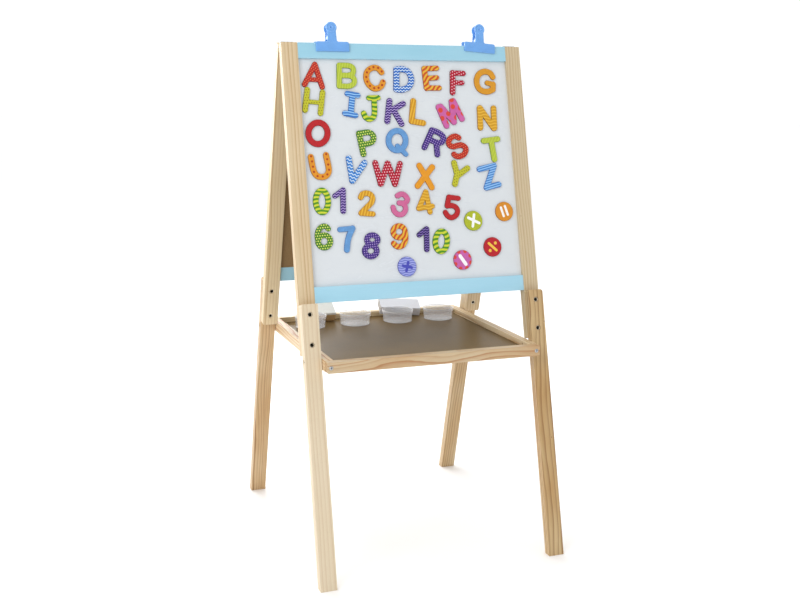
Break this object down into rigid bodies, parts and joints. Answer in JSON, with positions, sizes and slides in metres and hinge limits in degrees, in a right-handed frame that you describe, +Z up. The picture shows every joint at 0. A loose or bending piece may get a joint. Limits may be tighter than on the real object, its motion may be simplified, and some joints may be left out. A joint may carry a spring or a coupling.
{
  "type": "folding children's easel",
  "caption": "Folding A-frame children's easel with a white board, a chalk board, a tray between the legs, clips, cups and an eraser.",
  "frame": {"origin": "on the floor, midway between the four feet", "axes": "+Z up, the white board faces -Y, +X to the right seen from the white board's side"},
  "size_m": [0.55, 0.5946, 1.132],
  "materials": {
    "pine": "clear-lacquered pine, fine straight grain, eased edges",
    "leg_pine": "clear-lacquered pine, paler on the front left leg and deeper on the right",
    "blue_paint": "sky-blue satin paint on wood",
    "whiteboard": "smooth white dry-wipe surface, magnetic sheet on hardboard",
    "chalkboard": "matt charcoal chalk paint outside, bare brown hardboard inside",
    "hardboard": "brown hardboard, smooth face",
    "steel": "dark bright steel",
    "zinc": "zinc-plated screw heads",
    "clip_blue": "semi-gloss sky-blue moulded plastic",
    "frosted_plastic": "translucent frosted plastic",
    "felt": "white felt pad",
    "white_card": "plain white card"
  },
  "bodies": {
    "front_frame": {"front_stile_left": "pine", "front_leg_left": "leg_pine", "front_leg_bolt_left_upper": "steel", "front_leg_bolt_left_lower": "steel", "front_tray_bolt_left": "steel", "front_hinge_leaf_left": "steel", "hinge_pin_left": "steel", "front_stile_right": "pine", "front_leg_right": "leg_pine", "front_leg_bolt_right_upper": "steel", "front_leg_bolt_right_lower": "steel", "front_tray_bolt_right": "steel", "front_hinge_leaf_right": "steel", "hinge_pin_right": "steel", "front_top_rail": "blue_paint", "front_lower_rail": "blue_paint", "whiteboard_panel": "whiteboard"},
    "rear_frame": {"rear_stile_left": "pine", "rear_leg_left": "leg_pine", "rear_leg_bolt_left_upper": "steel", "rear_leg_bolt_left_lower": "steel", "rear_tray_bolt_left": "steel", "rear_hinge_leaf_left": "steel", "rear_stile_right": "pine", "rear_leg_right": "leg_pine", "rear_leg_bolt_right_upper": "steel", "rear_leg_bolt_right_lower": "steel", "rear_tray_bolt_right": "steel", "rear_hinge_leaf_right": "steel", "rear_top_rail": "blue_paint", "rear_lower_rail": "blue_paint", "chalkboard_panel": "chalkboard"},
    "tray": {"tray_front_rail": "pine", "tray_rear_rail": "pine", "tray_side_rail_left": "pine", "tray_side_rail_right": "pine", "tray_panel": "hardboard", "tray_screw_front_left": "zinc", "tray_screw_front_right": "zinc", "tray_screw_rear_left": "zinc", "tray_screw_rear_right": "zinc", "tray_sleeve_nut_left": "steel", "tray_sleeve_nut_right": "steel"},
    "clip_left": {"clip_left_rear_jaw": "clip_blue", "clip_left_pin": "steel", "clip_left_spring": "steel"},
    "clip_left_jaw": {"clip_left_front_jaw": "clip_blue"},
    "clip_right": {"clip_right_rear_jaw": "clip_blue", "clip_right_pin": "steel", "clip_right_spring": "steel"},
    "clip_right_jaw": {"clip_right_front_jaw": "clip_blue"},
    "cup_1": {"cup_1": "frosted_plastic"},
    "cup_2": {"cup_2": "frosted_plastic"},
    "cup_3": {"cup_3": "frosted_plastic"},
    "cup_4": {"cup_4": "frosted_plastic"},
    "eraser": {"eraser_block": "pine", "eraser_felt": "felt"},
    "chalk_box": {"chalk_box": "white_card"}
  },
  "joints": [
    {"name": "rear_frame_fold", "type": "hinge", "parent": "front_frame", "child": "rear_frame", "pos_m": [0, 0, 1.083], "axis": [1, 0, 0], "range_deg": [-26, 0]},
    {"name": "tray_swing", "type": "hinge", "parent": "front_frame", "child": "tray", "pos_m": [0, -0.18142, 0.443], "axis": [1, 0, 0], "range_deg": [-103.5, 0]},
    {"name": "clip_left_lift", "type": "slide", "parent": "front_frame", "child": "clip_left", "axis": [0, 0.2334, 0.9724], "range_m": [0, 0.06]},
    {"name": "clip_left_squeeze", "type": "hinge", "parent": "clip_left", "child": "clip_left_jaw", "pos_m": [-0.164, -0.00968, 1.09407], "axis": [1, 0, 0], "range_deg": [-14, 0], "stiffness_Nm_per_rad": 0.35, "springref_deg": 22.92},
    {"name": "clip_right_lift", "type": "slide", "parent": "front_frame", "child": "clip_right", "axis": [0, 0.2334, 0.9724], "range_m": [0, 0.06]},
    {"name": "clip_right_squeeze", "type": "hinge", "parent": "clip_right", "child": "clip_right_jaw", "pos_m": [0.178, -0.00968, 1.09407], "axis": [0.9969, -0.0183, -0.0763], "range_deg": [-14, 0], "stiffness_Nm_per_rad": 0.35, "springref_deg": 22.92},
    {"name": "cup_1_lift", "type": "slide", "parent": "tray", "child": "cup_1", "axis": [0, 0, 1], "range_m": [0, 0.06]},
    {"name": "cup_2_lift", "type": "slide", "parent": "tray", "child": "cup_2", "axis": [0, 0, 1], "range_m": [0, 0.06]},
    {"name": "cup_3_lift", "type": "slide", "parent": "tray", "child": "cup_3", "axis": [0, 0, 1], "range_m": [0, 0.06]},
    {"name": "cup_4_lift", "type": "slide", "parent": "tray", "child": "cup_4", "axis": [0, 0, 1], "range_m": [0, 0.06]},
    {"name": "eraser_lift", "type": "slide", "parent": "tray", "child": "eraser", "axis": [0, 0, 1], "range_m": [0, 0.08]},
    {"name": "chalk_box_lift", "type": "slide", "parent": "tray", "child": "chalk_box", "axis": [0, 0, 1], "range_m": [0, 0.08]}
  ]
}
